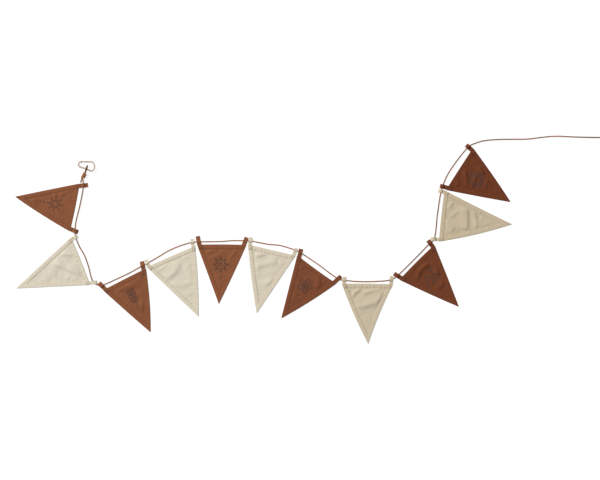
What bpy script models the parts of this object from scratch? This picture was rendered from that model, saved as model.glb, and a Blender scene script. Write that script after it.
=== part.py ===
"""Fabric bunting laid out on a flat surface: eleven hemmed pennants threaded on one cord with a snap hook.

The tables are in millimetres and the objects in metres. +Z is up off the surface, and X and Y are the plan
seen from straight above. The origin is on the surface, under the middle of the pennants and the hook.
"""
import math
from collections import namedtuple

import bmesh
import bpy
from mathutils import Matrix, Vector

MM = 0.001

# Cloth
CLOTH_THICK = 1.2
HEM_THICK = 2.0
HEM_WIDTH = 11.0
HEM_STEP = 1.0
FLAG_GRID = 10
CORNER_CUT = 2.2
FOLD_FADE = 16.0

# Tab loops
TAB_WIDTH = 9.5
TAPE_THICK = 0.9
TAB_TAIL = 12.0
TAB_EDGE_INSET = 0.6
TAB_LIFT_OFF = 2.2
TAB_LIFT = 0.4
TAB_REACH = 30.0
SPAN_STEPS = 32
LOOP_ROOM = 0.7
LOOP_NEAREST = 3.7
LOOP_TAPER = 0.9
LOOP_MOUTH = 3.4
CREASE_TAPER = 0.7
CREASE_MOUTH = 2.0
CREASE_RUN = 1.4
CREASE_LOW = 0.5
CREASE_HIGH = 1.9
GAP = 0.3

# Cord and knots
CORD_DIAMETER = 3.0
CORD_RADIUS = CORD_DIAMETER / 2
CORD_Z_FLOOR = 1.6
CORD_Z_TAB = 2.95
CORD_STEP = 36.0
KNOT_SIDES = 8
KNOT_STEP = 2.6
WRAP_RADIUS = 3.4
WRAP_PITCH = 3.6
WRAP_TURNS = 2.25
WRAP_STEPS = 9
CUT_END_SHARE = 0.6

# Snap hook
WIRE_RADIUS = 2.0
WIRE_STEP = 3.0
HOOK_SIDES = 10
HOOK_TILT = math.radians(10.5)
GATE_LENGTH = 16.0
GATE_RADIUS = 1.85
TONGUE_HALF_THICK = 0.7
SLOT_SIZE = (5.2, 6.0, 2.0)
SLOT_SHIFT = -0.15
PIN_RADIUS = 0.75
PIN_HALF_LENGTH = 1.5
PIN_HOLE_RADIUS = 1.1
NOSE_GAP = 0.4

RUST = (0.27, 0.085, 0.035)
CREAM = (0.66, 0.59, 0.46)
CORD_BROWN = (0.23, 0.17, 0.13)
METAL = (0.70, 0.67, 0.64)

# One row for each pennant: its tip, its two top corners and the ends of their tabs, in the order in which
# the cord meets them, then how far each side bows outward: towards the first corner, the second, the top.
Flag = namedtuple("Flag", "colour tip first second first_end second_end first_bow second_bow top_bow")
FLAGS = [
    Flag("rust", (-622, 118), (-459.5, 151), (-484, 30.5), (-439, 147), (-464, 29), 0.3, 2.1, 1.1),
    Flag("cream", (-619.5, -112), (-481, 17), (-433, -103), (-465, 19), (-416.5, -95.7), 0.8, 0.0, 0.9),
    Flag("rust", (-282, -222), (-402, -116), (-294, -61), (-411.5, -97.5), (-304.5, -44), 0.6, 3.1, 0.4),
    Flag("cream", (-162, -183), (-293, -57.5), (-171, -4.5), (-294.5, -40), (-179, 12), 0.4, 2.6, 0.3),
    Flag("rust", (-112, -151.5), (-167, -2), (-42.5, -2.5), (-165, 19), (-42, 16), -0.4, 1.0, 0.9),
    Flag("cream", (-17.5, -175), (-39.5, -1), (80.5, -29), (-31, 16), (82, -11), 2.1, 0.3, -0.2),
    Flag("rust", (43.5, -187), (84, -28), (182.5, -99.5), (94, -13), (193.5, -81), 0.0, 2.6, -1.4),
    Flag("cream", (261.5, -251.5), (195, -99.5), (324, -100.5), (203, -83), (320, -81), 3.0, -3.1, 0.7),
    Flag("rust", (488.5, -158), (339, -90), (427, -2), (326, -74.5), (411, 8.5), 1.0, 0.5, 1.5),
    Flag("cream", (622, 49), (437.5, 5.5), (451.5, 134.5), (418, 13), (437, 133), 4.1, -0.9, 0.8),
    Flag("rust", (618, 104), (455.5, 134.5), (523.5, 240), (441, 145), (506.5, 247), 0.6, 1.4, 0.6),
]

# One row for each main fold: the pennant it is on, the points that its crest runs through, how wide it falls
# away to the left and to the right of the crest, and its height.
Fold = namedtuple("Fold", "flag crest left right height")
FOLDS = [
    Fold(1, [(-509, 113), (-502, 127), (-487, 136), (-469, 138)], 7, 7, 1.4),
    Fold(2, [(-512, -27), (-487, -26), (-462, -30)], 8, 6, 1.1),
    Fold(2, [(-532, -44), (-509, -54), (-484, -65), (-459, -74), (-439, -80)], 16, 7, 2.1),
    Fold(3, [(-374, -123), (-354, -112), (-329, -106), (-302, -104)], 12, 8, 1.3),
    Fold(4, [(-252, -90), (-232, -78), (-217, -60), (-209, -38)], 15, 9, 2.2),
    Fold(4, [(-237, -108), (-207, -103), (-174, -94)], 12, 8, 1.5),
    Fold(5, [(-150, -27), (-132, -18), (-113, -12)], 6, 7, 1.4),
    Fold(6, [(-24, -30), (-7, -27), (8, -20), (23, -18)], 6, 6, 1.3),
    Fold(6, [(-24, -58), (-4, -54), (16, -47), (38, -45)], 11, 9, 1.3),
    Fold(7, [(132, -115), (138, -95), (136, -73)], 9, 9, 1.5),
    Fold(8, [(223, -158), (248, -154), (273, -147), (291, -137), (308, -120)], 15, 9, 2.3),
    Fold(8, [(217, -138), (228, -122), (243, -111)], 6, 6, 1.5),
    Fold(8, [(243, -125), (258, -121), (278, -115), (296, -111)], 7, 6, 1.1),
    Fold(9, [(384, -93), (387, -75), (398, -59), (416, -49)], 8, 9, 1.3),
    Fold(10, [(506, 30), (508, 62), (506, 96)], 20, 6, 2.0),
    Fold(10, [(533, 37), (529, 62), (523, 86)], 8, 6, 1.6),
    Fold(10, [(475, 30), (463, 45), (453, 61)], 7, 10, 1.5),
    Fold(10, [(463, 64), (477, 75), (491, 86)], 6, 6, 1.1),
    Fold(10, [(459, 86), (468, 98), (476, 108)], 5, 5, 1.1),
    Fold(11, [(506, 137), (507, 157), (505, 173), (500, 188), (506, 202), (516, 217)], 9, 6, 1.7),
]

# The snap hook's wire lies flat in its own plane. Its points run from the gate's pivot round the narrow end,
# along the back and round the wide end to the nose, and are measured from the pivot.
HOOK_PIVOT = (-452.6, 205.4)
HOOK_ROUTE = [
    (0.0, 0.0), (-4.6, -0.1), (-8.8, -2.3), (-10.6, -6.6), (-8.7, -11.4), (-3.9, -14.2), (3.5, -16.2),
    (10.0, -18.3), (15.4, -21.3), (20.2, -23.2), (25.4, -22.5), (28.6, -19.0), (29.5, -13.8), (28.7, -8.0),
    (26.4, -3.2), (23.0, -0.4), (19.6, 0.2), (GATE_LENGTH + NOSE_GAP, 0.1),
]

# How far along from the pivot, and the half width there: the wire's flattened tongue and the gate's rod.
TONGUE = [(2.0, 0.5), (1.7, 1.05), (1.0, 1.73), (0.0, 2.0), (-2.4, 2.0)]
TONGUE_ROOT = (-3.6, -0.02)
GATE_ROD = [
    (-1.85, 0.3), (-1.6, 0.93), (-0.9, 1.62), (0.0, GATE_RADIUS), (GATE_LENGTH - 0.5, GATE_RADIUS),
    (GATE_LENGTH, GATE_RADIUS - 0.5),
]

# A place along a tab's strip from its root, the strip's lower and upper faces there, and the levels of the
# loop's inside: none where the strip is closed, one where the loop ends, two where it is open.
Station = namedtuple("Station", "along low high inside")

# The cord's route in plan. Where a point is in a tab or beside one, the cord is held higher.
CORD_ROUTE = [
    (-451, 154.5, "tab"), (-450, 145, "tab"), (-459, 97, "floor"), (-469, 55.5, "floor"), (-471.5, 32, "tab"),
    (-470, 18, "tab"), (-461, -5.5, "floor"), (-447, -30.5, "floor"), (-437, -59.3, "floor"), (-430, -86.5, "tab"),
    (-424, -96, "tab"), (-416, -105.5, "tab"), (-405, -104, "tab"), (-359, -84, "floor"),
    (-334, -72, "floor"), (-302, -54, "tab"), (-290, -48, "tab"), (-264, -33, "floor"),
    (-239, -18, "floor"), (-209, -5, "floor"), (-178, 4, "tab"), (-161, 5, "tab"), (-104, 6, "floor"),
    (-79, 8, "floor"), (-44, 8, "tab"), (-31, 7, "tab"), (11, -1, "floor"), (41, -4, "floor"),
    (80, -16, "tab"), (92, -22, "tab"), (135.4, -51, "floor"), (187, -88, "tab"), (203, -91, "tab"),
    (233, -94, "floor"), (276, -94, "floor"), (319, -89.5, "tab"), (337, -77, "tab"), (376, -39, "floor"),
    (414, 0, "tab"), (426.5, 13, "tab"), (434, 72, "floor"), (443, 131, "tab"), (447, 143, "tab"),
    (457, 168, "floor"), (478, 201, "floor"), (512.5, 243, "tab"), (531.3, 252.2, "floor"), (553, 258, "floor"),
    (591, 261, "floor"), (661, 262, "floor"), (693, 266, "floor"), (731, 269, "floor"), (778, 267, "floor"),
    (841, 266, "floor"), (872, 267, "floor"),
]

# The knots' strands, each point as its plan and its centre's height. The hitch runs from the cord's end up
# through its own wraps, round the hook's back from below, and down again. Its wraps follow from the top to
# the bottom of the straight part, and then its tail.
KNOT_AXIS_Z = CORD_RADIUS + WRAP_RADIUS + 0.1
HITCH_START = [(-451.0, 154.85, CORD_Z_TAB), (-451.1, 156.4, CORD_Z_TAB), (-451.6, 161.0, 4.0)]
HITCH_BOTTOM = (-451.6, 165.1, KNOT_AXIS_Z)
HITCH_TOP = (-445.6, 176.1, KNOT_AXIS_Z)
HITCH_LOOP = [
    (-444.2, 181.2, 2.2), (-442.6, 186.6, 1.6), (-441.0, 192.0, 1.9), (-440.2, 194.6, 5.4),
    (-441.0, 192.4, 8.8), (-442.8, 187.0, 10.0), (-444.6, 181.0, 9.8),
]
HITCH_TAIL = [(-454.4, 166.2, 3.7), (-455.0, 162.0, 2.2), (-456.0, 158.0, 1.6), (-457.4, 152.4, 1.6)]

# The end knot's strand in the same way, measured from where the cord ends.
END_KNOT_PLACE = (872.3, 267.0, 0.0)
END_KNOT_START = [(0.0, 0.0, CORD_Z_FLOOR), (1.5, 0.0, CORD_Z_FLOOR)]
END_KNOT_NEAR = (8.0, 0.0, KNOT_AXIS_Z)
END_KNOT_FAR = (17.0, 0.0, KNOT_AXIS_Z)
END_KNOT_LOOP = [(23.0, -2.5, 4.0), (26.5, 1.5, 4.6), (23.0, 3.6, 7.2)]
END_KNOT_TAIL = [(-4.0, 1.5, 3.4), (-9.0, 3.0, 1.6), (-16.0, 6.0, 1.6)]


def make_material(name, colour, roughness, metallic=0.0):
    """A plain finish with the piece's own colour."""
    finish = bpy.data.materials.new(name)
    finish.use_nodes = True
    shader = finish.node_tree.nodes["Principled BSDF"]
    shader.inputs["Base Color"].default_value = (*colour, 1.0)
    shader.inputs["Roughness"].default_value = roughness
    shader.inputs["Metallic"].default_value = metallic
    return finish


def add_object(name, shape, finish, origin=(0.0, 0.0, 0.0)):
    """Puts a bmesh whose points are in millimetres into the scene, with its origin at the given place."""
    bmesh.ops.translate(shape, verts=shape.verts, vec=-Vector(origin))
    bmesh.ops.scale(shape, verts=shape.verts, vec=(MM, MM, MM))
    bmesh.ops.recalc_face_normals(shape, faces=shape.faces)
    mesh = bpy.data.meshes.new(name)
    shape.to_mesh(mesh)
    shape.free()
    mesh.materials.append(finish)
    piece = bpy.data.objects.new(name, mesh)
    piece.location = Vector(origin) * MM
    bpy.context.collection.objects.link(piece)
    return piece


def smooth_curve(points, spacing):
    """Points on a smooth curve through the given ones, about one spacing apart, the given ones included."""
    points = [Vector(p) for p in points]
    result = [points[0]]
    for i in range(len(points) - 1):
        here, there = points[i], points[i + 1]
        before = points[i - 1] if i > 0 else here - (there - here)
        after = points[i + 2] if i + 2 < len(points) else there + (there - here)
        span = (there - here).length
        start_slope = (there - before) * (span / max((here - before).length + span, 1e-6))
        end_slope = (after - here) * (span / max((after - there).length + span, 1e-6))
        steps = max(1, round(span / spacing))
        for k in range(1, steps + 1):
            t = k / steps
            result.append(here * (2 * t ** 3 - 3 * t ** 2 + 1) + start_slope * (t ** 3 - 2 * t ** 2 + t)
                          + there * (3 * t ** 2 - 2 * t ** 3) + end_slope * (t ** 3 - t ** 2))
    return result


def laid_curve(points, spacing):
    """A smooth curve through the points that nowhere dips below a cord lying on the surface."""
    return [Vector((p.x, p.y, max(p.z, CORD_Z_FLOOR))) for p in smooth_curve(points, spacing)]


def tube(points, sizes, sides):
    """A closed rod along the points, with the half width and half height given at each of them."""
    shape = bmesh.new()
    rings = []
    normal = Vector((0.0, 0.0, 1.0))
    for i, point in enumerate(points):
        tangent = (points[min(i + 1, len(points) - 1)] - points[max(i - 1, 0)]).normalized()
        normal = (normal - tangent * normal.dot(tangent)).normalized()
        side = tangent.cross(normal)
        ring = []
        for k in range(sides):
            turn = 2 * math.pi * (k + 0.5) / sides
            offset = side * (math.cos(turn) * sizes[i][0]) + normal * (math.sin(turn) * sizes[i][1])
            ring.append(shape.verts.new(point + offset))
        rings.append(ring)
    for low, high in zip(rings, rings[1:]):
        for k in range(sides):
            shape.faces.new((low[k], low[(k + 1) % sides], high[(k + 1) % sides], high[k]))
    shape.faces.new(rings[0])
    shape.faces.new(rings[-1])
    return shape


def outward_of(start, end, centre):
    """The unit vector square to a side, pointing away from the pennant's middle."""
    along = (end - start).normalized()
    outward = Vector((along.y, -along.x))
    return outward if outward.dot(start - centre) > 0 else -outward


def flag_point(flag, a, b, c):
    """A point of the pennant from its shares of the first corner, the second corner and the tip."""
    first, second, tip = Vector(flag.first), Vector(flag.second), Vector(flag.tip)
    centre = (first + second + tip) / 3
    point = first * a + second * b + tip * c
    point += outward_of(tip, first, centre) * (flag.first_bow * 4 * a * c)
    point += outward_of(tip, second, centre) * (flag.second_bow * 4 * b * c)
    point += outward_of(first, second, centre) * (flag.top_bow * 4 * a * b)
    return point


def altitudes(flag):
    """How far the first corner, the second corner and the tip lie from the side across from each."""
    first, second, tip = Vector(flag.first), Vector(flag.second), Vector(flag.tip)
    double_area = abs((second - first).cross(tip - first))
    return [double_area / side.length for side in (second - tip, first - tip, second - first)]


def smooth_step(x):
    x = min(max(x, 0.0), 1.0)
    return x * x * (3 - 2 * x)


def fold_crests(number):
    """Each fold of one pennant as its row and the points along its crest."""
    crests = []
    for fold in FOLDS:
        if fold.flag == number:
            crests.append((fold, [p.xy for p in smooth_curve([(x, y, 0.0) for x, y in fold.crest], 6.0)]))
    return crests


def fold_lift(crests, point, edge_distance):
    """How far the folds lift the cloth at a point. The hems stay flat on the surface."""
    lift = 0.0
    for fold, crest in crests:
        best = None
        for k, (start, end) in enumerate(zip(crest, crest[1:])):
            run = end - start
            t = min(max((point - start).dot(run) / run.length_squared, 0.0), 1.0)
            distance = (point - start - run * t).length
            if best is None or distance < best[0]:
                width = fold.left if run.cross(point - start) > 0 else fold.right
                best = (distance, (k + t) / (len(crest) - 1), width)
        distance, along, width = best
        across = math.exp(-1.4 * (distance / width) ** 2)
        lift = max(lift, fold.height * across * smooth_step(6 * along * (1 - along)))
    return lift * smooth_step((edge_distance - 8.0) / FOLD_FADE)


def build_flag(number, flag, finish):
    """One pennant: a hemmed triangle of cloth that lies flat, with its main folds lifted off the surface."""
    shape = bmesh.new()
    heights = altitudes(flag)
    crests = fold_crests(number)

    def vertex(grid_shares, inset, thick):
        shares = [inset / h for h in heights]
        rest = 1 - sum(shares)
        a, b, c = (s + rest * g for s, g in zip(shares, grid_shares))
        plan = flag_point(flag, a, b, c)
        edge_distance = min(a * heights[0], b * heights[1], c * heights[2])
        lift = fold_lift(crests, plan, edge_distance)
        return shape.verts.new((plan.x, plan.y, lift + thick))

    n = FLAG_GRID
    rim = [(n - k, k, 0) for k in range(n)]
    rim += [(0, n - k, k) for k in range(n)]
    rim += [(k, 0, n - k) for k in range(n)]

    def ring(inset, thick):
        return {key: vertex([v / n for v in key], inset, thick) for key in rim}

    def grid(thick):
        keys = [(i, j, n - i - j) for i in range(n + 1) for j in range(n + 1 - i)]
        return {key: vertex([v / n for v in key], HEM_WIDTH, thick) for key in keys}

    top, bottom = grid(CLOTH_THICK), grid(0.0)
    for sheet in (top, bottom):
        for i in range(n):
            for j in range(n - i):
                k = n - i - j
                left, right = sheet[i + 1, j, k - 1], sheet[i, j + 1, k - 1]
                shape.faces.new((sheet[i, j, k], left, right))
                if k > 1:
                    shape.faces.new((left, sheet[i + 1, j + 1, k - 2], right))
    rings = [top, ring(HEM_WIDTH - HEM_STEP, HEM_THICK), ring(0.0, HEM_THICK), ring(0.0, 0.0), bottom]
    for near, far in zip(rings, rings[1:]):
        for k, key in enumerate(rim):
            after = rim[(k + 1) % len(rim)]
            shape.faces.new((near[key], near[after], far[after], far[key]))
    corners = [(n, 0, 0), (0, n, 0), (0, 0, n)]
    upright = [shape.edges.get((rings[2][key], rings[3][key])) for key in corners]
    bmesh.ops.bevel(shape, geom=upright, offset=CORNER_CUT, segments=2, affect="EDGES", profile=0.5)
    middle = (Vector(flag.first) + Vector(flag.second)) / 2
    add_object(f"flag_{number:02d}", shape, finish, (middle.x, middle.y, 0.0))


def tab_line(flag, second):
    """A tab's root on the top edge, its outer end, and the way in which its tail runs down the hem."""
    corner = Vector(flag.second if second else flag.first)
    other = Vector(flag.first if second else flag.second)
    end = Vector(flag.second_end if second else flag.first_end)
    side = (corner - Vector(flag.tip)).normalized()
    edge = (other - corner).normalized()
    root = corner + edge * ((TAB_WIDTH / 2 + TAB_EDGE_INSET) / abs(side.cross(edge)))
    return root, end, side


def cord_span(cord, root, axis):
    """The stretch along a tab's axis that the cord takes up inside the tab's width."""
    lateral = Vector((-axis.y, axis.x))
    inside = []
    for start, end in zip(cord, cord[1:]):
        for k in range(SPAN_STEPS + 1):
            place = start.lerp(end, k / SPAN_STEPS).xy - root
            if abs(place.dot(lateral)) < TAB_WIDTH / 2 + GAP and place.length < TAB_REACH:
                inside.append(place.dot(axis))
    return min(inside), max(inside)


def close_side(shape, here, there):
    """One side of a tab between two stations. A column holds its low and high points, then the loop's."""
    if len(here) == len(there) == 2:
        outlines = [(here[0], there[0], there[1], here[1])]
    elif len(here) == 2:
        outlines = [(here[0], there[0], there[2]), (here[0], there[2], there[1], here[1])]
    elif len(there) == 2:
        outlines = [(here[0], there[0], here[2]), (here[2], there[0], there[1], here[1])]
    else:
        lower = [here[0], there[0], there[2], here[2]]
        upper = [here[1], there[1], there[-1], here[-1]]
        outlines = [lower, upper]
    for outline in outlines:
        shape.faces.new(outline)


def build_tab(name, flag, second, cord, finish):
    """A strip folded over the cord, with both its ends laid on the hem at the pennant's corner."""
    root, end, side = tab_line(flag, second)
    axis = (end - root).normalized()
    length = (end - root).length
    nearest, furthest = cord_span(cord, root, axis)
    open_from = max(nearest - CORD_RADIUS - LOOP_ROOM, LOOP_NEAREST)
    open_to = min(furthest + CORD_RADIUS + LOOP_ROOM, length - CREASE_RUN)
    tail_low = HEM_THICK + GAP
    tail_high = tail_low + 2 * TAPE_THICK
    inside = (TAPE_THICK, CORD_Z_TAB + CORD_RADIUS + GAP)
    crown = inside[1] + TAPE_THICK
    stations = [
        Station(-TAB_TAIL, tail_low, tail_high, ()),
        Station(TAB_LIFT_OFF, tail_low, tail_high + TAB_LIFT, ()),
        Station(open_from - LOOP_TAPER, tail_low / 2, crown - LOOP_TAPER, (LOOP_MOUTH,)),
        Station(open_from, 0.0, crown, inside),
        Station(open_to, 0.0, crown, inside),
        Station(open_to + CREASE_TAPER, 0.0, crown - 2 * CREASE_TAPER, (CREASE_MOUTH,)),
        Station(length, CREASE_LOW, CREASE_HIGH, ()),
    ]
    shape = bmesh.new()
    columns = []
    for station in stations:
        way = side if station.along < 0 else axis
        centre = root + way * station.along
        lateral = Vector((-way.y, way.x))
        pair = []
        for sign in (-1, 1):
            plan = centre + lateral * (sign * TAB_WIDTH / 2)
            levels = (station.low, station.high, *station.inside)
            pair.append([shape.verts.new((plan.x, plan.y, z)) for z in levels])
        columns.append(pair)

    for (left, right), (next_left, next_right) in zip(columns, columns[1:]):
        shape.faces.new((left[0], right[0], next_right[0], next_left[0]))
        shape.faces.new((left[1], right[1], next_right[1], next_left[1]))
        close_side(shape, left, next_left)
        close_side(shape, right, next_right)
        if len(left) > 2 and len(next_left) > 2:
            shape.faces.new((left[2], right[2], next_right[2], next_left[2]))
            shape.faces.new((left[-1], right[-1], next_right[-1], next_left[-1]))
    for left, right in (columns[0], columns[-1]):
        shape.faces.new((left[0], right[0], right[1], left[1]))
    add_object(name, shape, finish, (root.x, root.y, 0.0))


def cord_points():
    """The cord's smooth route, a little higher where it runs inside the tabs."""
    heights = {"floor": CORD_Z_FLOOR, "tab": CORD_Z_TAB}
    return laid_curve([(x, y, heights[place]) for x, y, place in CORD_ROUTE], CORD_STEP)


def build_cord(points, finish):
    """The cord as a round tube from the hitch to the end knot."""
    curve = bpy.data.curves.new("cord", "CURVE")
    curve.dimensions = "3D"
    curve.bevel_depth = CORD_RADIUS * MM
    curve.bevel_resolution = 2
    curve.use_fill_caps = True
    spline = curve.splines.new("POLY")
    spline.points.add(len(points) - 1)
    for target, point in zip(spline.points, points):
        target.co = (*(point * MM), 1.0)
    curve.materials.append(finish)
    piece = bpy.data.objects.new("cord", curve)
    bpy.context.collection.objects.link(piece)


def wraps(start, end):
    """The turns that a strand makes round the straight strand from start to end, from its crown on."""
    start, end = Vector(start), Vector(end)
    way = (end - start).normalized()
    up = Vector((0.0, 0.0, 1.0))
    side = way.cross(up)
    points = []
    for k in range(round(WRAP_TURNS * WRAP_STEPS) + 1):
        turn = 2 * math.pi * k / WRAP_STEPS
        centre = start + way * (WRAP_PITCH * k / WRAP_STEPS)
        points.append(centre + (up * math.cos(turn) + side * math.sin(turn)) * WRAP_RADIUS)
    return points


def build_knot(name, points, finish):
    """A knot's whole strand as one tube, a little thinner at its cut end."""
    points = laid_curve(points, KNOT_STEP)
    sizes = [(CORD_RADIUS, CORD_RADIUS)] * len(points)
    sizes[-1] = (CORD_RADIUS * CUT_END_SHARE, CORD_RADIUS * CUT_END_SHARE)
    shape = tube(points, sizes, KNOT_SIDES)
    add_object(name, shape, finish, (points[0].x, points[0].y, 0.0))


def build_hitch(finish):
    """The cord's first end: round the hook's back, wrapped over itself, with a short tail."""
    coil = wraps(HITCH_TOP, HITCH_BOTTOM)
    build_knot("hitch", [*HITCH_START, HITCH_BOTTOM, HITCH_TOP, *HITCH_LOOP, *coil, *HITCH_TAIL], finish)


def build_end_knot(finish):
    """The cord's other end: a stopper knot with a small eye and a short tail."""
    place = Vector(END_KNOT_PLACE)
    points = [Vector(p) for p in (*END_KNOT_START, END_KNOT_NEAR, END_KNOT_FAR, *END_KNOT_LOOP)]
    coil = wraps(END_KNOT_FAR, END_KNOT_NEAR)
    tail = [Vector((coil[-1].x + x, coil[-1].y + y, z)) for x, y, z in END_KNOT_TAIL]
    build_knot("end_knot", [place + p for p in points + coil + tail], finish)


def cutter(name, shape, target, operation):
    """A hidden tool shape that cuts its target or is joined to it, placed as the target is."""
    tool = add_object(name, shape, target.data.materials[0])
    tool.location = target.location
    tool.rotation_euler = target.rotation_euler
    tool.hide_render = True
    tool.display_type = "WIRE"
    change = target.modifiers.new(name, "BOOLEAN")
    change.operation = operation
    change.object = tool


def upright_rod(radius, half_height, sides):
    shape = bmesh.new()
    bmesh.ops.create_cone(shape, cap_ends=True, segments=sides, radius1=radius, radius2=radius,
                          depth=2 * half_height)
    return shape


def place_on_hook(piece):
    """Sets a hook piece at the gate's pivot, tilted so that the cord passes under the hook's back."""
    piece.location = Vector((*HOOK_PIVOT, WIRE_RADIUS + 0.1)) * MM
    piece.rotation_euler = (-HOOK_TILT, 0.0, 0.0)


def build_hook_body(finish):
    """The bent wire, flattened to a tongue at the gate's pivot and blunt at the nose."""
    points = [Vector((x, 0.0, 0.0)) for x, _ in TONGUE]
    sizes = [(half, TONGUE_HALF_THICK) for _, half in TONGUE]
    wire = smooth_curve([(x, y, 0.0) for x, y in HOOK_ROUTE[1:]], WIRE_STEP)
    points += [Vector((*TONGUE_ROOT, 0.0))] + wire
    sizes += [(WIRE_RADIUS, WIRE_RADIUS)] * (len(wire) + 1)
    body = add_object("hook_body", tube(points, sizes, HOOK_SIDES), finish)
    place_on_hook(body)
    cutter("pin_hole", upright_rod(PIN_HOLE_RADIUS, 2 * WIRE_RADIUS, 16), body, "DIFFERENCE")


def build_hook_gate(finish):
    """The straight gate, forked over the tongue, with its pin across the fork."""
    points = [Vector((x, 0.0, 0.0)) for x, _ in GATE_ROD]
    sizes = [(radius, radius) for _, radius in GATE_ROD]
    gate = add_object("hook_gate", tube(points, sizes, HOOK_SIDES), finish)
    place_on_hook(gate)
    slot = bmesh.new()
    bmesh.ops.create_cube(slot, size=1.0, matrix=Matrix.Diagonal((*SLOT_SIZE, 1.0)))
    bmesh.ops.translate(slot, verts=slot.verts, vec=(SLOT_SHIFT, 0.0, 0.0))
    cutter("fork_slot", slot, gate, "DIFFERENCE")
    cutter("fork_pin", upright_rod(PIN_RADIUS, PIN_HALF_LENGTH, 12), gate, "UNION")


def build_all():
    cloth = {
        "rust": make_material("rust_canvas", RUST, 0.9),
        "cream": make_material("cream_canvas", CREAM, 0.9),
    }
    twine = make_material("brown_cord", CORD_BROWN, 0.85)
    metal = make_material("hook_metal", METAL, 0.35, 1.0)
    cord = cord_points()
    for number, flag in enumerate(FLAGS, 1):
        finish = cloth[flag.colour]
        build_flag(number, flag, finish)
        build_tab(f"tab_{number:02d}_a", flag, False, cord, finish)
        build_tab(f"tab_{number:02d}_b", flag, True, cord, finish)
    build_cord(cord, twine)
    build_hitch(twine)
    build_end_knot(twine)
    build_hook_body(metal)
    build_hook_gate(metal)


for old in list(bpy.data.objects):
    bpy.data.objects.remove(old, do_unlink=True)
build_all()
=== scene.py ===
"""A string of eleven cloth pennants on a twisted cord with a small snap hook, laid out flat on a pale table.

The tables are in millimetres, in the part's own frame: X and Y are the plan seen from above, +Z is up off the
table. The points of the meshes are turned to metres when a piece is made.
"""
import math
from collections import namedtuple

import bmesh
import bpy
import numpy as np
from mathutils import Matrix, Vector


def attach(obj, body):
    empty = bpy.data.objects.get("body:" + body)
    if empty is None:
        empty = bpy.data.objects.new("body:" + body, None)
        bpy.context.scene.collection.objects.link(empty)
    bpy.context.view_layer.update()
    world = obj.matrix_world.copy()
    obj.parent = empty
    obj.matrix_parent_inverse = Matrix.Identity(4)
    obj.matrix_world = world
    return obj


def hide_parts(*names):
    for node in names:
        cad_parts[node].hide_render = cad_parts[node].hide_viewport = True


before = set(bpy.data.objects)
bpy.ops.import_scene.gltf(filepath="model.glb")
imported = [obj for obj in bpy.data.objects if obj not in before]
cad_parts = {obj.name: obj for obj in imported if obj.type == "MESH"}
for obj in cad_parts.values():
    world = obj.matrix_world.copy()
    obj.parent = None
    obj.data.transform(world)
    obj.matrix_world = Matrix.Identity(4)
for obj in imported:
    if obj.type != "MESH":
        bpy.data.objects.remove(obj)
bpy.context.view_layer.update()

# The view is straight down on the string, from well above so that nothing leans. The picture takes in 1.5 m
# of the table from side to side, and its middle lies a little right of the part's own origin.
PICTURE_WIDTH = 1.5
PICTURE_MIDDLE = (0.090875, 0.009625)
SENSOR_WIDTH = 36.0
LENS = 100.0

camera = bpy.data.cameras.new("overhead_camera")
camera.sensor_width = SENSOR_WIDTH
camera.lens = LENS


def put_in_scene(name, data):
    """A new object made of the data, at the origin of the scene."""
    made = bpy.data.objects.new(name, data)
    bpy.context.scene.collection.objects.link(made)
    return made


overhead = put_in_scene("overhead_camera", camera)
overhead.location = (*PICTURE_MIDDLE, PICTURE_WIDTH * LENS / SENSOR_WIDTH)
bpy.context.scene.camera = overhead

# The cord is 3 mm soft cord of three strands twisted together, dyed brown. It lies loose on the table, runs
# through every tab, and its free lead goes out of the picture on the right.
MM = 0.001
CORD_DIAMETER = 3.0
CORD_RADIUS = CORD_DIAMETER / 2
STRAND_RADIUS = 0.92
STRAND_OFFSET = 0.87
CORD_LAY = 11.0
STRAND_POINTS = 6
ROUTE_STEP = 2.0
CORD_STEP = 1.3
CUT_END = 0.75
TWINE_BROWN = "#ad6b42"
TWINE_RUSSET = "#9b5a30"
TWINE_GREY = "#866848"
FIBRE_WIDE = 0.25
FIBRE_LONG = 2.857
GREYED_PATCH = 33.33
# The dye took unevenly, paler along the middle and darkest at the lead's end: how far from the hitch, and how
# light the cord is there.
CORD_TONE = [
    (100, 0.88), (250, 1.05), (500, 1.2), (900, 1.15), (1150, 0.8), (1350, 0.95), (1550, 0.8), (1680, 1.15),
    (1755, 0.5),
]
# The points that the middle of the cord runs through, in the plan, and its height: low on the table, or in a tab.
LOW, TAB = 1.82, 2.8
CORD_ROUTE = [
    (-451, 154.5, TAB), (-450, 145, TAB), (-459, 97, LOW), (-469, 55.5, LOW), (-471.5, 32, TAB),
    (-470, 18, TAB), (-461, -5.5, LOW), (-447, -30.5, LOW), (-437, -59.3, LOW), (-430, -86.5, TAB),
    (-424, -96, TAB), (-415.5, -102.5, TAB), (-405, -104, TAB), (-359, -84, LOW), (-334, -72, LOW),
    (-302, -54, TAB), (-290, -48, TAB), (-264, -33, LOW), (-239, -18, LOW), (-209, -5, LOW), (-178, 4, TAB),
    (-161, 5, TAB), (-104, 6, LOW), (-79, 8, LOW), (-44, 8, TAB), (-31, 7, TAB), (11, -1, LOW), (41, -4, LOW),
    (80, -16, TAB), (92, -22, TAB), (135.4, -51, LOW), (187, -88, TAB), (203, -91, TAB), (233, -94, LOW),
    (276, -94, LOW), (319, -89.5, TAB), (337, -77, TAB), (376, -39, LOW), (414, 0, TAB), (426.5, 13, TAB),
    (434, 72, LOW), (443, 131, TAB), (447, 143, TAB), (457, 168, LOW), (478, 201, LOW), (512.5, 243, TAB),
    (531.3, 252.2, LOW), (553, 258, LOW), (591, 261, LOW), (661, 262, LOW), (693, 266, LOW), (731, 269, LOW),
    (778, 267, LOW), (841, 266, LOW), (872, 267, LOW),
]


def per_metre(size):
    """How often a pattern of the given size in millimetres comes in a metre."""
    return 1 / (size * MM)


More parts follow.
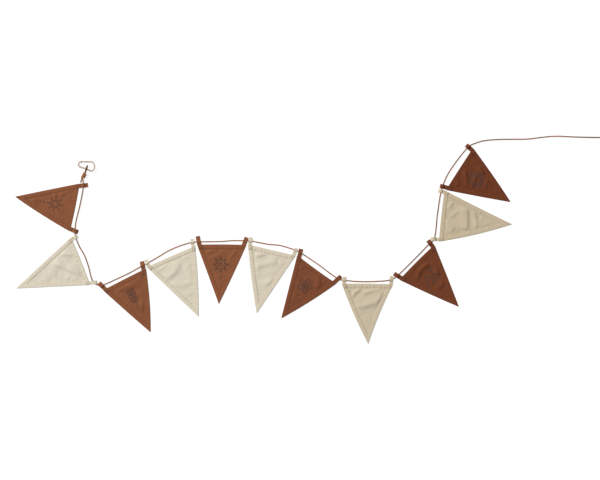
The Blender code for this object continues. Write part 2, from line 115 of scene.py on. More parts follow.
def linear(hex_colour):
    """An sRGB hex colour as linear red, green, blue and alpha."""
    parts = [int(hex_colour[i:i + 2], 16) / 255 for i in (1, 3, 5)]
    return (*(p / 12.92 if p <= 0.04045 else ((p + 0.055) / 1.055) ** 2.4 for p in parts), 1.0)


def feed(tree, made, inputs):
    """Gives each named or numbered input a value, or links it from an output, or from a node's first output."""
    for name, value in inputs.items():
        if isinstance(value, bpy.types.Node):
            value = next(output for output in value.outputs if output.enabled)
        if isinstance(value, bpy.types.NodeSocket):
            tree.links.new(value, made.inputs[name])
        else:
            made.inputs[name].default_value = value
    return made


def node(tree, kind, inputs=None, **settings):
    """Adds a shader node with its settings and links."""
    made = tree.nodes.new("ShaderNode" + kind)
    for name, value in settings.items():
        setattr(made, name, value)
    return feed(tree, made, inputs or {})


def new_finish(name, sockets):
    """A finish whose shader's own sockets hold the given values: the material, its node tree and its shader."""
    finish = bpy.data.materials.new(name)
    finish.use_nodes = True
    return finish, finish.node_tree, feed(finish.node_tree, finish.node_tree.nodes["Principled BSDF"], sockets)


def new_piece(name, points, faces, finish, maps=None, values=None):
    """Makes a smooth piece from points in millimetres, with its maps, and its values at the points."""
    mesh = bpy.data.meshes.new(name)
    mesh.from_pydata((np.asarray(points, float) * MM).tolist(), [], faces)
    for map_name, plan in (maps or {}).items():
        corner_points = np.empty(len(mesh.loops), np.int64)
        mesh.loops.foreach_get("vertex_index", corner_points)
        layer = mesh.uv_layers.new(name=map_name)
        layer.data.foreach_set("uv", (np.asarray(plan) * MM)[corner_points].astype(np.float32).ravel())
    for value_name, numbers in (values or {}).items():
        mesh.attributes.new(value_name, "FLOAT", "POINT").data.foreach_set(
            "value", np.full(len(points), numbers, np.float32))
    shape = bmesh.new()
    shape.from_mesh(mesh)
    bmesh.ops.recalc_face_normals(shape, faces=shape.faces)
    shape.to_mesh(mesh)
    shape.free()
    mesh.shade_smooth()
    mesh.materials.append(finish)
    return put_in_scene(name, mesh)


def smooth_curve(points, spacing):
    """Points on a smooth curve through the given ones, about one spacing apart, the given ones included."""
    points = [Vector(p) for p in points]
    result = [points[0]]
    for i in range(len(points) - 1):
        here, there = points[i], points[i + 1]
        before = points[i - 1] if i > 0 else here - (there - here)
        after = points[i + 2] if i + 2 < len(points) else there + (there - here)
        span = (there - here).length
        start_slope = (there - before) * (span / max((here - before).length + span, 1e-6))
        end_slope = (after - here) * (span / max((after - there).length + span, 1e-6))
        steps = max(1, round(span / spacing))
        for k in range(1, steps + 1):
            t = k / steps
            result.append(here * (2 * t ** 3 - 3 * t ** 2 + 1) + start_slope * (t ** 3 - 2 * t ** 2 + t)
                          + there * (3 * t ** 2 - 2 * t ** 3) + end_slope * (t ** 3 - t ** 2))
    return result


def even_steps(points, spacing):
    """The same line with its points an even distance apart."""
    line = np.array([tuple(p) for p in points])
    run = np.concatenate([[0.0], np.cumsum(np.linalg.norm(np.diff(line, axis=0), axis=1))])
    places = np.linspace(0.0, run[-1], max(2, round(run[-1] / spacing) + 1))
    return np.stack([np.interp(places, run, line[:, k]) for k in range(3)], axis=1)


def unit(vectors):
    """A vector, or each row of an array of them, made one long."""
    return vectors / np.linalg.norm(vectors, axis=-1, keepdims=True)


def frames_along(line):
    """Two directions square to a line at each of its points, which turn as little as they can along it."""
    way = unit(np.gradient(line, axis=0))
    normals = np.empty_like(line)
    normal = np.array([0.0, 0.0, 1.0]) if abs(way[0][2]) < 0.9 else np.array([1.0, 0.0, 0.0])
    for i, direction in enumerate(way):
        normal = unit(normal - direction * normal.dot(direction))
        normals[i] = normal
    return normals, np.cross(way, normals)


def tube_faces(rings, sides):
    """The faces of a closed tube of that many rings, with its two ends filled."""
    faces = []
    for i in range(rings - 1):
        for k in range(sides):
            after = (k + 1) % sides
            faces.append((i * sides + k, i * sides + after, (i + 1) * sides + after, (i + 1) * sides + k))
    faces.append(tuple(range(sides - 1, -1, -1)))
    faces.append(tuple(range((rings - 1) * sides, rings * sides)))
    return faces


def twisted_cord(name, points, step, tones_and_painted_light, finish):
    """Three round strands laid together along the line, as one closed skin with its grooves."""
    line = even_steps(points, step)
    normals, sides = frames_along(line)
    count = 3 * STRAND_POINTS
    angle = 2 * math.pi * (np.arange(count) + 0.5) / count
    from_crown = (angle + math.pi / 3) % (2 * math.pi / 3) - math.pi / 3
    radius = STRAND_OFFSET * np.cos(from_crown) + np.sqrt(
        np.maximum(STRAND_RADIUS ** 2 - (STRAND_OFFSET * np.sin(from_crown)) ** 2, 0.0))
    run = np.arange(len(line)) * step
    turn = angle[None, :] + (2 * math.pi * run / CORD_LAY)[:, None]
    thinning = np.ones(len(line))
    thinning[[0, -1]] = CUT_END
    reach = radius[None, :] * thinning[:, None]
    skin = (line[:, None, :] + normals[:, None, :] * (np.cos(turn) * reach)[:, :, None]
            + sides[:, None, :] * (np.sin(turn) * reach)[:, :, None])
    across, along, strand, groove, tone = np.broadcast_arrays(
        angle * CORD_RADIUS, run[:, None], np.floor((angle + math.pi / 3) / (2 * math.pi / 3)) % 3 / 2,
        (1 - radius / radius.max()) / (1 - radius.min() / radius.max()), np.interp(run, *zip(*tones_and_painted_light))[:, None])
    piece = new_piece(name, skin.reshape(-1, 3), tube_faces(len(line), count), finish,
                      maps={"fibre": np.stack([across, along], axis=2).reshape(-1, 2)},
                      values={"strand": strand.ravel(), "groove": groove.ravel(), "tone": tone.ravel()})
    return piece, line


# Dyed cotton twine: the strands took the dye unevenly, so brown, russet and greyed turns follow each other,
# dull all over, with short fibres along each strand, and the grooves between them darkened as painted shade.
twine, tree, shader = new_finish("dyed_cotton_twine", {
    "Roughness": 0.9, "Specular IOR Level": 0.25, "Sheen Weight": 0.05, "Sheen Roughness": 0.5})
strand_value, groove_value, tone_and_painted_light_value = (
    node(tree, "Attribute", attribute_name=name).outputs["Fac"] for name in ("strand", "groove", "tone"))
fibre_map = node(tree, "UVMap", uv_map="fibre")
fibre_run = node(tree, "Mapping", {"Vector": fibre_map, "Scale": (per_metre(FIBRE_WIDE), per_metre(FIBRE_LONG), 1)})
fibres = node(tree, "TexNoise", {"Vector": fibre_run, "Scale": 1.0, "Detail": 3.0, "Roughness": 0.6})
patch_run = node(tree, "Mapping", {"Vector": fibre_map, "Scale": (1, per_metre(GREYED_PATCH), 1)})
patches = node(tree, "TexNoise", {"Vector": patch_run, "Scale": 1.0, "Detail": 2.0})
greyed = node(tree, "MapRange", {"Value": patches, "From Min": 0.42, "From Max": 0.62})
two_browns = node(tree, "Mix", {
    "Factor": strand_value, "A": linear(TWINE_BROWN), "B": linear(TWINE_RUSSET)}, data_type="RGBA")
with_grey = node(tree, "Mix", {
    "Factor": greyed, "A": two_browns, "B": linear(TWINE_GREY)}, data_type="RGBA")
fibre_shade = node(tree, "MapRange", {
    "Value": fibres, "From Min": 0.3, "From Max": 0.7, "To Min": 0.8, "To Max": 1.15})
# Painted shade: the grooves between the strands are darkened.
groove_shade = node(tree, "MapRange", {"Value": groove_value, "To Min": 1.0, "To Max": 0.6})
both_shades = node(tree, "Math", {0: fibre_shade, 1: groove_shade}, operation="MULTIPLY")
# The tone along the cord; on the knots it is painted shade round the hook's back and painted light on the outer
# turns.
all_shades = node(tree, "Math", {0: both_shades, 1: tone_and_painted_light_value}, operation="MULTIPLY")
shaded = node(tree, "Mix", {
    "Factor": 1.0, "A": with_grey, "B": all_shades}, data_type="RGBA", blend_type="MULTIPLY")
fibre_bump = node(tree, "Bump", {"Height": fibres, "Strength": 0.5, "Distance": 0.2 * MM})
feed(tree, shader, {"Base Color": shaded, "Normal": fibre_bump})


def laid(points, spacing):
    """A smooth line through the points that runs no lower than a cord on the table."""
    return [Vector((p.x, p.y, max(p.z, LOW))) for p in smooth_curve(points, spacing)]


cord, cord_path = twisted_cord("cord_twisted", laid(CORD_ROUTE, ROUTE_STEP), CORD_STEP, CORD_TONE, twine)
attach(cord, "string")
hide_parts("cord")

# The hitch ties the cord to the snap hook: the strand goes up through its own turns, round the hook's back
# and down, and its short tail lies beside the cord. The far end of the lead is stopped by a like knot.
WRAP_RADIUS = 3.8
WRAP_PITCH = 3.6
HITCH_TURNS = 3.25
END_KNOT_TURNS = 2.25
WRAP_STEPS = 9
KNOT_ROUTE_STEP = 1.0
KNOT_STEP = 0.8
KNOT_OFF_TABLE = 0.1
KNOT_AXIS_Z = CORD_RADIUS + WRAP_RADIUS + KNOT_OFF_TABLE
# How far along a knot's strand, and how light it is there: painted shade where the strand runs round the hook's
# back, and painted light on the outer turns. The lead's end knot takes the same table.
KNOT_LIGHT_AND_SHADE = [(0, 1.0), (25, 0.95), (45, 0.7), (60, 0.8), (75, 1.25), (140, 1.25), (165, 1.0)]
HITCH_START = [(-451.0, 154.85, TAB), (-451.1, 156.4, TAB), (-451.6, 161.0, 4.0)]
HITCH_BOTTOM = (-451.6, 165.1, KNOT_AXIS_Z)
HITCH_TOP = (-445.6, 176.1, KNOT_AXIS_Z)
HITCH_LOOP = [
    (-444.2, 181.2, 2.2), (-442.6, 186.6, 1.6), (-441.0, 192.0, 1.9), (-440.0, 195.0, 5.4),
    (-440.9, 192.6, 9.0), (-442.8, 187.0, 10.0), (-444.6, 181.0, 9.7),
]
HITCH_TAIL = [(-454.4, 166.2, 3.7), (-455.0, 162.0, 2.2), (-456.0, 158.0, 1.6), (-457.4, 152.4, 1.6)]
END_KNOT_PLACE = (872.3, 267.0, 0.0)
END_KNOT_START = [(0.0, 0.0, LOW), (1.5, 0.0, LOW)]
END_KNOT_NEAR = (8.0, 0.0, KNOT_AXIS_Z)
END_KNOT_FAR = (17.0, 0.0, KNOT_AXIS_Z)
END_KNOT_LOOP = [(23.0, -2.5, 4.0), (26.5, 1.5, 4.6), (23.0, 3.6, 7.2)]
END_KNOT_TAIL = [(-4.0, 1.5, 3.4), (-9.0, 3.0, 1.6), (-16.0, 6.0, 1.6)]


def wraps(start, end, turns):
    """The turns that a strand makes round the straight strand from start to end, from its crown on."""
    start, end = Vector(start), Vector(end)
    way = (end - start).normalized()
    up = Vector((0.0, 0.0, 1.0))
    side = way.cross(up)
    points = []
    for k in range(round(turns * WRAP_STEPS) + 1):
        turn = 2 * math.pi * k / WRAP_STEPS
        centre = start + way * (WRAP_PITCH * k / WRAP_STEPS)
        points.append(centre + (up * math.cos(turn) + side * math.sin(turn)) * WRAP_RADIUS)
    return points


def tied(name, points):
    """A knot's whole strand."""
    piece, _ = twisted_cord(name, laid(points, KNOT_ROUTE_STEP), KNOT_STEP, KNOT_LIGHT_AND_SHADE, twine)
    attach(piece, "string")
    return piece


hitch = tied("hitch_knot", [*HITCH_START, HITCH_BOTTOM, HITCH_TOP, *HITCH_LOOP,
                            *wraps(HITCH_TOP, HITCH_BOTTOM, HITCH_TURNS), *HITCH_TAIL])
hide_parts("hitch")

end_turns = wraps(END_KNOT_FAR, END_KNOT_NEAR, END_KNOT_TURNS)
end_tail = [Vector((end_turns[-1].x + x, end_turns[-1].y + y, z)) for x, y, z in END_KNOT_TAIL]
end_strand = [Vector(p) for p in (*END_KNOT_START, END_KNOT_NEAR, END_KNOT_FAR, *END_KNOT_LOOP)]
end_knot = tied("lead_end_knot", [Vector(END_KNOT_PLACE) + p for p in end_strand + end_turns + end_tail])
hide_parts("end_knot")

# The snap hook is bent from one piece of 4 mm aluminium wire, pressed flat to a tongue where the gate hangs.
# The cord is tied round its back, which therefore lies a little off the table.
WIRE_RADIUS = 2.0
HOOK_SIDES = 24
HOOK_OFF_TABLE = 0.1
WIRE_STEP = 1.2
NOSE_ROUNDED = 0.5
HOOK_TILT = math.radians(10.5)
HOOK_PIVOT = (-452.6, 205.4)
GATE_LENGTH = 16.0
GATE_RADIUS = 1.85
NOSE_GAP = 0.4
TONGUE_HALF_THICK = 0.7
# The wire's middle from the tongue round to the nose, and the tongue's half width at points along it.
HOOK_ROUTE = [
    (-4.6, -0.1), (-8.8, -2.3), (-10.6, -6.6), (-8.7, -11.4), (-3.9, -14.2), (3.5, -16.2),
    (10.0, -18.3), (15.4, -21.3), (20.2, -23.2), (25.4, -22.5), (28.6, -19.0), (29.5, -13.8), (28.7, -8.0),
    (26.4, -3.2), (23.0, -0.4), (19.6, 0.2), (GATE_LENGTH + NOSE_GAP, 0.1),
]
TONGUE = [(2.0, 0.5), (1.85, 0.8), (1.55, 1.25), (1.0, 1.73), (0.4, 1.95), (0.0, 2.0), (-1.2, 2.0), (-2.4, 2.0)]
TONGUE_ROOT = (-3.6, -0.02)
# The wire's grey, with a rose tint painted in: a painted reflection of the rust cloth.
METAL_GREY_WITH_PAINTED_ROSE = "#c4b0a4"
BENDING_MARK = 1.111
DULL_PATCH = 6.25


def rod(name, points, sizes, sides, finish):
    """A closed rod along the points, with its half width and half height at each."""
    line = np.array([tuple(p) for p in points])
    normals, laterals = frames_along(line)
    turn = 2 * math.pi * (np.arange(sides) + 0.5) / sides
    sizes = np.array(sizes)
    skin = (line[:, None, :]
            + laterals[:, None, :] * (sizes[:, None, 0] * np.cos(turn))[:, :, None]
            + normals[:, None, :] * (sizes[:, None, 1] * np.sin(turn))[:, :, None])
    return new_piece(name, skin.reshape(-1, 3), tube_faces(len(line), sides), finish)


def set_on_hook(piece, body, node_name=None):
    """Places a hook piece at the gate's pivot, in the hook's own tilted plane."""
    piece.location = (HOOK_PIVOT[0] * MM, HOOK_PIVOT[1] * MM, (WIRE_RADIUS + HOOK_OFF_TABLE) * MM)
    piece.rotation_euler = (-HOOK_TILT, 0.0, 0.0)
    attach(piece, body)
    if node_name:
        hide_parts(node_name)


# Tumbled aluminium wire: a soft grey shine, a little duller in patches, with fine marks from the bending. Its
# grey has a rose tint painted in, a painted reflection of the rust cloth.
wire_metal, tree, shader = new_finish("tumbled_aluminium_wire", {"Roughness": 0.5, "Metallic": 1.0})
on_wire = node(tree, "TexCoord").outputs["Object"]
marks = node(tree, "TexNoise", {
    "Vector": on_wire, "Scale": per_metre(BENDING_MARK), "Detail": 4.0, "Roughness": 0.65})
dull = node(tree, "TexNoise", {"Vector": on_wire, "Scale": per_metre(DULL_PATCH), "Detail": 2.0})
dulled = node(tree, "MapRange", {
    "Value": dull, "From Min": 0.35, "From Max": 0.65, "To Min": 0.55, "To Max": 0.68})
tone = node(tree, "MapRange", {
    "Value": marks, "From Min": 0.3, "From Max": 0.7, "To Min": 0.95, "To Max": 1.02})
toned = node(tree, "Mix", {
    "Factor": 1.0, "A": linear(METAL_GREY_WITH_PAINTED_ROSE), "B": tone}, data_type="RGBA", blend_type="MULTIPLY")
mark_bump = node(tree, "Bump", {"Height": marks, "Strength": 0.08, "Distance": 0.1 * MM})
feed(tree, shader, {"Roughness": dulled, "Base Color": toned, "Normal": mark_bump})

wire = smooth_curve([(x, y, 0.0) for x, y in HOOK_ROUTE], WIRE_STEP)
hook_points = [(x, 0.0, 0.0) for x, _ in TONGUE] + [(*TONGUE_ROOT, 0.0)] + [tuple(p) for p in wire]
hook_sizes = [(half, TONGUE_HALF_THICK) for _, half in TONGUE]
hook_sizes += [(WIRE_RADIUS, WIRE_RADIUS)] * (len(wire) + 1)
hook_sizes[-1] = (WIRE_RADIUS - NOSE_ROUNDED, WIRE_RADIUS - NOSE_ROUNDED)
hook = rod("hook_wire", hook_points, hook_sizes, HOOK_SIDES, wire_metal)
set_on_hook(hook, "string", "hook_body")

# The gate is a short straight rod, slotted over the tongue and hung on a rivet. Its own spring shuts it
# against the hook's nose.
# How far along the gate from its rivet, and its radius there; and the same up the rivet.
GATE_ROD = [
    (-1.85, 0.3), (-1.75, 0.62), (-1.6, 0.93), (-1.3, 1.32), (-0.9, 1.62), (-0.45, 1.8), (0.0, GATE_RADIUS),
    (4.0, GATE_RADIUS), (8.0, GATE_RADIUS), (12.0, GATE_RADIUS), (GATE_LENGTH - 0.5, GATE_RADIUS),
    (GATE_LENGTH - 0.15, GATE_RADIUS - 0.15), (GATE_LENGTH, GATE_RADIUS - 0.5),
]
SLOT_SIZE = (5.2, 6.0, 2.0)
SLOT_SHIFT = -0.15
SLOT_EDGE_ANGLE = math.radians(40)
RIVET_SIDES = 20
RIVET = [
    (-2.07, 0.15), (-2.04, 0.5), (-1.94, 0.85), (-1.8, 1.05), (-1.6, 1.05), (-1.58, 0.75), (1.58, 0.75),
    (1.6, 1.05), (1.8, 1.05), (1.98, 0.85), (2.1, 0.5), (2.15, 0.15),
]

gate = rod("gate_rod", [(x, 0.0, 0.0) for x, _ in GATE_ROD], [(r, r) for _, r in GATE_ROD], HOOK_SIDES,
           wire_metal)
slot_tool = put_in_scene("slot_tool", bpy.data.meshes.new("slot_tool"))
shape = bmesh.new()
bmesh.ops.create_cube(shape, size=MM, matrix=Matrix.Diagonal((*SLOT_SIZE, 1.0)))
bmesh.ops.translate(shape, verts=shape.verts, vec=(SLOT_SHIFT * MM, 0.0, 0.0))
shape.to_mesh(slot_tool.data)
shape.free()
slotting = gate.modifiers.new("slot", "BOOLEAN")
slotting.object = slot_tool
bpy.context.view_layer.update()
slotted = bpy.data.meshes.new_from_object(gate.evaluated_get(bpy.context.evaluated_depsgraph_get()))
gate.modifiers.clear()
gate.data = slotted
gate.data.set_sharp_from_angle(angle=SLOT_EDGE_ANGLE)
bpy.data.objects.remove(slot_tool)
set_on_hook(gate, "gate", "hook_gate")
rivet = rod("gate_rivet", [(0.0, 0.0, z) for z, _ in RIVET], [(r, r) for _, r in RIVET], RIVET_SIDES,
            wire_metal)
set_on_hook(rivet, "gate")

# Each pennant is one triangle of plain woven cotton canvas, rust or natural, with its three sides turned to
# the back and stitched down. They lie loose on the table, so each keeps a few soft folds of its own.
CANVAS_Z = 1.2
HEM_WIDTH = 11.0
PENNANT_GRID = 110
CORNER_CUT = 1.6
FOLD_FADE = 11.0
FOLD_STEP = 3.0
FOLD_STEEPNESS = 1.4
FOLD_RUN_OUT = 6
HEM_HOLDS = 8.0
STITCH_LINE = 9.0
PUCKER_HEIGHT = 0.11
PUCKER_LENGTHS = (6.0, 9.5, 16.0)
PUCKER_REACH = 5.0
PUCKER_START = 1.0
PUCKER_RISE = 3.0
PUCKER_SEED = 90
TAB_HOLDS = 14.0
TAB_HOLD_FADE = 9.0
WAVE_HEIGHT = {"rust": 0.007, "cream": 0.005}
WAVE_LENGTHS = (62.0, 47.0, 35.0, 27.0, 21.0)
WAVE_SEED = 40
OFF_TABLE = 0.3
# The hems that are gathered more than the others: the pennant, and the side across from its first corner (0),
# its second corner (1) or its tip (2).
GATHERED = {(8, 2): 1.9, (10, 1): 1.3, (10, 2): 1.3, (2, 2): 1.3, (6, 2): 1.3}
# The palest and the darkest colour of each cloth. The darkest stands partly for a deeper dye on the rust pennants,
# and partly for painted shade on both cloths.
RUST_PALEST = "#804e32"
RUST_DARKEST = "#623119"
CREAM_PALEST = "#ccc4b2"
CREAM_DARKEST = "#b6a88f"
# Painted shade along the inner edge of each hem: a warm darker tint just inside the stitch line, where the hem
# steps down to the single cloth. Its colour, how far inside the stitch line it lies, and how wide. The same tint
# darkens the tabs' two edges.
HEM_SHADE_AND_TAB_EDGE_TINT = "#faf5ec"
HEM_SHADE_IN = 1.0
HEM_SHADE_WIDTH = 1.6
INK_BROWN = "#43332e"
THREAD_PITCH = 1.0
SLUB_LONG = 11.11
SLUB_WIDE = 0.909
DYE_PATCH = 22.22

# Each pennant's cloth, its three corners, the outer ends of its two tabs, how far its sides bow outward, how
# dark its colour is set, from 0 to 1, and its printed design. On the rust pennants this darkness is partly a
# deeper dye and partly painted shade; on the natural ones it is all painted shade. The painted shade grows
# towards the right, where the light falls off from the left.
Pennant = namedtuple(
    "Pennant", "cloth tip first second first_end second_end first_bow second_bow top_bow deep design",
    defaults=[None])
PENNANTS = [
    Pennant("rust", (-622, 118), (-459.5, 151), (-484, 30.5), (-439, 147), (-464, 29), 0.3, 2.1, 1.1, 0.0, "sun"),
    Pennant("cream", (-619.5, -112), (-481, 17), (-433, -103), (-465, 19), (-416.5, -95.7), 0.8, 0.0, 0.9, 0.0),
    Pennant("rust", (-282, -222), (-402, -116), (-294, -61), (-411.5, -97.5), (-304.5, -44), 0.6, 3.1, 0.4,
            0.1, "sprig"),
    Pennant("cream", (-162, -183), (-293, -57.5), (-171, -4.5), (-294.5, -40), (-179, 12), 0.4, 2.6, 0.3, 0.1),
    Pennant("rust", (-112, -151.5), (-167, -2), (-42.5, -2.5), (-165, 19), (-42, 16), -0.4, 1.0, 0.9, 0.02, "star"),
    Pennant("cream", (-17.5, -175), (-39.5, -1), (80.5, -29), (-31, 16), (82, -11), 2.1, 0.3, -0.2, 0.22),
    Pennant("rust", (43.5, -187), (84, -28), (182.5, -99.5), (94, -13), (193.5, -81), 0.0, 2.6, -1.4, 0.5,
            "blossom"),
    Pennant("cream", (261.5, -251.5), (195, -99.5), (324, -100.5), (203, -83), (320, -81), 3.0, -3.1, 0.7, 0.8),
    Pennant("rust", (488.5, -158), (339, -90), (427, -2), (326, -74.5), (411, 8.5), 1.0, 0.5, 1.5, 0.9, "hills"),
    Pennant("cream", (622, 49), (437.5, 5.5), (451.5, 134.5), (418, 13), (437, 133), 4.1, -0.9, 0.8, 1.0),
    Pennant("rust", (618, 104), (455.5, 134.5), (523.5, 240), (441, 145), (506.5, 247), 0.6, 1.4, 0.6, 1.0, "ring"),
]

# How the hem is built up from its outer edge inward: the distance in, and the height of each face.
HEM_UPPER = [
    (0.0, 1.0), (0.2, 1.45), (0.6, 1.8), (1.2, 1.94), (2.0, 2.0), (3.5, 2.04), (5.0, 2.04), (6.5, 2.02),
    (8.0, 1.96), (8.6, 1.88), (STITCH_LINE, 1.79), (9.4, 1.83), (9.8, 1.83), (10.2, 1.66), (10.6, 1.38),
    (HEM_WIDTH, CANVAS_Z), (14.0, 1.15),
]
HEM_LOWER = [
    (0.0, 1.0), (0.2, 0.55), (0.6, 0.16), (1.2, 0.0), (5.0, 0.0), (10.0, 0.0), (10.5, 0.35),
    (HEM_WIDTH, 0.45),
]

# The folds of each pennant: the points that each crest runs through, how wide it falls away to the left and to
# the right of the crest, and its height.
FOLDS = {
    1: [
        ([(-509, 113), (-502, 127), (-487, 136), (-469, 138)], 7, 7, 2.1),
        ([(-525, 115), (-519, 128), (-509, 138)], 6, 7, 1.2),
        ([(-574, 90), (-577, 107), (-569, 121)], 12, 12, 1.4),
        ([(-507, 66), (-484, 58)], 5, 5, 0.9),
        ([(-493, 70), (-482, 95)], 5, 5, 0.9),
    ],
    2: [
        ([(-512, -27), (-487, -26), (-462, -30)], 8, 6, 1.4),
        ([(-532, -44), (-509, -54), (-484, -65), (-459, -74), (-439, -80)], 16, 7, 2.7),
        ([(-494, -93), (-488, -83), (-484, -73)], 5, 4, 0.7),
        ([(-537, -67), (-517, -82)], 5, 4, 0.7),
    ],
    3: [
        ([(-374, -123), (-354, -112), (-329, -106), (-302, -104)], 12, 8, 2.0),
        ([(-339, -93), (-317, -84), (-297, -77)], 4, 5, 1.0),
        ([(-305, -185), (-303, -140)], 8, 5, 0.9),
        ([(-354, -140), (-332, -148), (-312, -163)], 7, 6, 1.0),
    ],
    4: [
        ([(-252, -90), (-232, -78), (-217, -60), (-209, -38)], 15, 9, 2.0),
        ([(-237, -108), (-207, -103), (-174, -94)], 12, 8, 1.4),
        ([(-267, -69), (-252, -59), (-239, -45)], 6, 4, 0.8),
        ([(-227, -33), (-209, -27), (-189, -35)], 4, 5, 0.7),
        ([(-214, -131), (-192, -126), (-172, -122)], 7, 5, 0.6),
        ([(-199, -68), (-182, -50)], 6, 6, 0.4),
    ],
    5: [
        ([(-150, -27), (-132, -18), (-113, -12)], 6, 7, 1.9),
        ([(-142, -40), (-127, -33), (-109, -25)], 5, 7, 1.1),
        ([(-129, -83), (-112, -82), (-94, -77)], 7, 5, 0.8),
        ([(-89, -45), (-77, -25), (-64, -13)], 6, 6, 1.0),
        ([(-119, -113), (-104, -103)], 6, 5, 0.8),
    ],
    6: [
        ([(-24, -30), (-7, -27), (8, -20), (23, -18)], 6, 6, 1.7),
        ([(-24, -58), (-4, -54), (16, -47), (38, -45)], 11, 9, 1.7),
        ([(-17, -100), (6, -100), (26, -93)], 12, 8, 1.0),
        ([(38, -40), (51, -53)], 5, 5, 0.7),
    ],
    7: [
        ([(132, -115), (138, -95), (136, -73)], 9, 9, 2.2),
        ([(86, -62), (103, -56)], 5, 5, 0.9),
        ([(73, -140), (83, -110)], 8, 6, 0.8),
        ([(146, -100), (158, -83), (166, -70)], 5, 5, 1.6),
        ([(101, -85), (121, -98)], 6, 5, 0.9),
    ],
    8: [
        ([(223, -158), (248, -154), (273, -147), (291, -137), (308, -120)], 15, 9, 2.7),
        ([(217, -138), (228, -122), (243, -111)], 6, 6, 2.0),
        ([(243, -125), (258, -121), (278, -115), (296, -111)], 7, 6, 1.4),
    ],
    9: [
        ([(384, -93), (387, -75), (398, -59), (416, -49)], 7, 7, 2.8),
        ([(431, -115), (451, -93), (458, -70)], 8, 8, 2.3),
        ([(365, -88), (367, -74), (376, -63)], 6, 5, 1.4),
        ([(416, -45), (431, -60), (436, -80)], 6, 6, 1.8),
        ([(403, -120), (426, -130), (448, -128)], 7, 6, 1.6),
        ([(456, -110), (466, -133)], 6, 6, 1.0),
    ],
    10: [
        ([(506, 30), (508, 62), (506, 96)], 20, 6, 2.2),
        ([(533, 37), (529, 62), (523, 86)], 8, 6, 1.7),
        ([(475, 30), (463, 45), (453, 61)], 7, 10, 1.6),
        ([(463, 64), (477, 75), (491, 86)], 6, 6, 1.2),
        ([(459, 86), (468, 98), (476, 108)], 5, 5, 1.2),
        ([(542, 56), (550, 73)], 5, 6, 0.9),
        ([(573, 42), (571, 65)], 9, 7, 0.6),
    ],
    11: [
        ([(506, 137), (507, 157), (505, 173), (500, 188), (506, 202), (516, 217)], 9, 6, 2.9),
        ([(485, 140), (483, 153), (479, 166)], 5, 5, 1.9),
        ([(551, 133), (561, 162)], 5, 5, 1.6),
        ([(531, 210), (543, 190), (551, 170)], 6, 5, 1.9),
        ([(518, 135), (526, 157), (531, 177)], 5, 5, 1.9),
        ([(576, 120), (586, 142)], 6, 5, 1.5),
    ],
}


def soft_step(x):
    """A smooth rise from 0 to 1 as x goes from 0 to 1."""
    x = np.clip(x, 0.0, 1.0)
    return x * x * (3 - 2 * x)


def corners_of(row):
    return np.array([row.first, row.second, row.tip], float)


def outward_sides(corners):
    """For the side across from each corner: the unit vector square to it, pointing out, and its altitude."""
    normals, heights = [], []
    for k in range(3):
        start, end = corners[(k + 1) % 3], corners[(k + 2) % 3]
        run = unit(end - start)
        normal = np.array([run[1], -run[0]])
        height = np.dot(corners[k] - start, normal)
        if height > 0:
            normal = -normal
        normals.append(normal)
        heights.append(abs(height))
    return np.array(normals), np.array(heights)


def lay_out(row, shares):
    """The plan of points given by their shares of the three corners, and their distance from each side."""
    corners = corners_of(row)
    normals, heights = outward_sides(corners)
    plan = shares @ corners
    for k in range(3):
        one, two = normals[(k + 1) % 3], normals[(k + 2) % 3]
        half_angle = math.acos(np.clip(-one.dot(two), -1, 1)) / 2
        radius = CORNER_CUT / (1 / math.sin(half_angle) - 1)
        inward = -unit(one + two)
        centre = corners[k] + inward * (radius / math.sin(half_angle))
        offset = plan - centre
        reach = np.maximum(offset @ one, offset @ two)
        parts = offset @ np.linalg.inv(np.array([one, two]))
        length = np.linalg.norm(offset, axis=1)
        turned = (parts.min(axis=1) > 0) & (length > 1e-6)
        plan[turned] = centre + offset[turned] * (reach[turned] / length[turned])[:, None]
    a, b, c = shares.T
    for k, bow in enumerate((4 * row.second_bow * b * c, 4 * row.first_bow * a * c, 4 * row.top_bow * a * b)):
        plan += normals[k] * bow[:, None]
    return plan, shares * heights


def line_distance(plan, line):
    """How far each point lies from a line of points, where along it from 0 to 1, and if on its left side."""
    best = np.full(len(plan), np.inf)
    along = np.zeros(len(plan))
    on_left = np.zeros(len(plan), bool)
    for k in range(len(line) - 1):
        run = line[k + 1] - line[k]
        offset = plan - line[k]
        t = np.clip(offset @ run / max(run.dot(run), 1e-9), 0.0, 1.0)
        distance = np.linalg.norm(offset - t[:, None] * run, axis=1)
        nearer = distance < best
        best[nearer] = distance[nearer]
        along[nearer] = ((k + t) / (len(line) - 1))[nearer]
        on_left[nearer] = (run[0] * offset[:, 1] > run[1] * offset[:, 0])[nearer]
    return best, along, on_left


def fold_shape(crest, left, right, height, plan):
    """The height of one fold at each point: highest along its crest, and run out at both its ends."""
    line = np.array([p[:2] for p in smooth_curve([(x, y, 0.0) for x, y in crest], FOLD_STEP)])
    distance, along, on_left = line_distance(plan, line)
    width = np.where(on_left, left, right)
    return height * np.exp(-FOLD_STEEPNESS * (distance / width) ** 2) * soft_step(
        FOLD_RUN_OUT * along * (1 - along))


def cloth_lift(number, row, plan, from_side):
    """How far the cloth lies above flat: its folds and a slight waviness, which the stitched hem holds down."""
    edge = from_side.min(axis=1)
    lift = np.zeros(len(plan))
    for fold in FOLDS[number]:
        lift = np.maximum(lift, fold_shape(*fold, plan))
    wave = np.zeros(len(plan))
    chance = np.random.default_rng(WAVE_SEED + number)
    for length in WAVE_LENGTHS:
        turn, phase = chance.uniform(0, math.pi), chance.uniform(0, 2 * math.pi)
        towards = np.array([math.cos(turn), math.sin(turn)])
        wave += WAVE_HEIGHT[row.cloth] * length * np.sin(2 * math.pi * (plan @ towards) / length + phase)
    return np.maximum((lift + OFF_TABLE + wave) * soft_step((edge - HEM_HOLDS) / FOLD_FADE), 0.0)


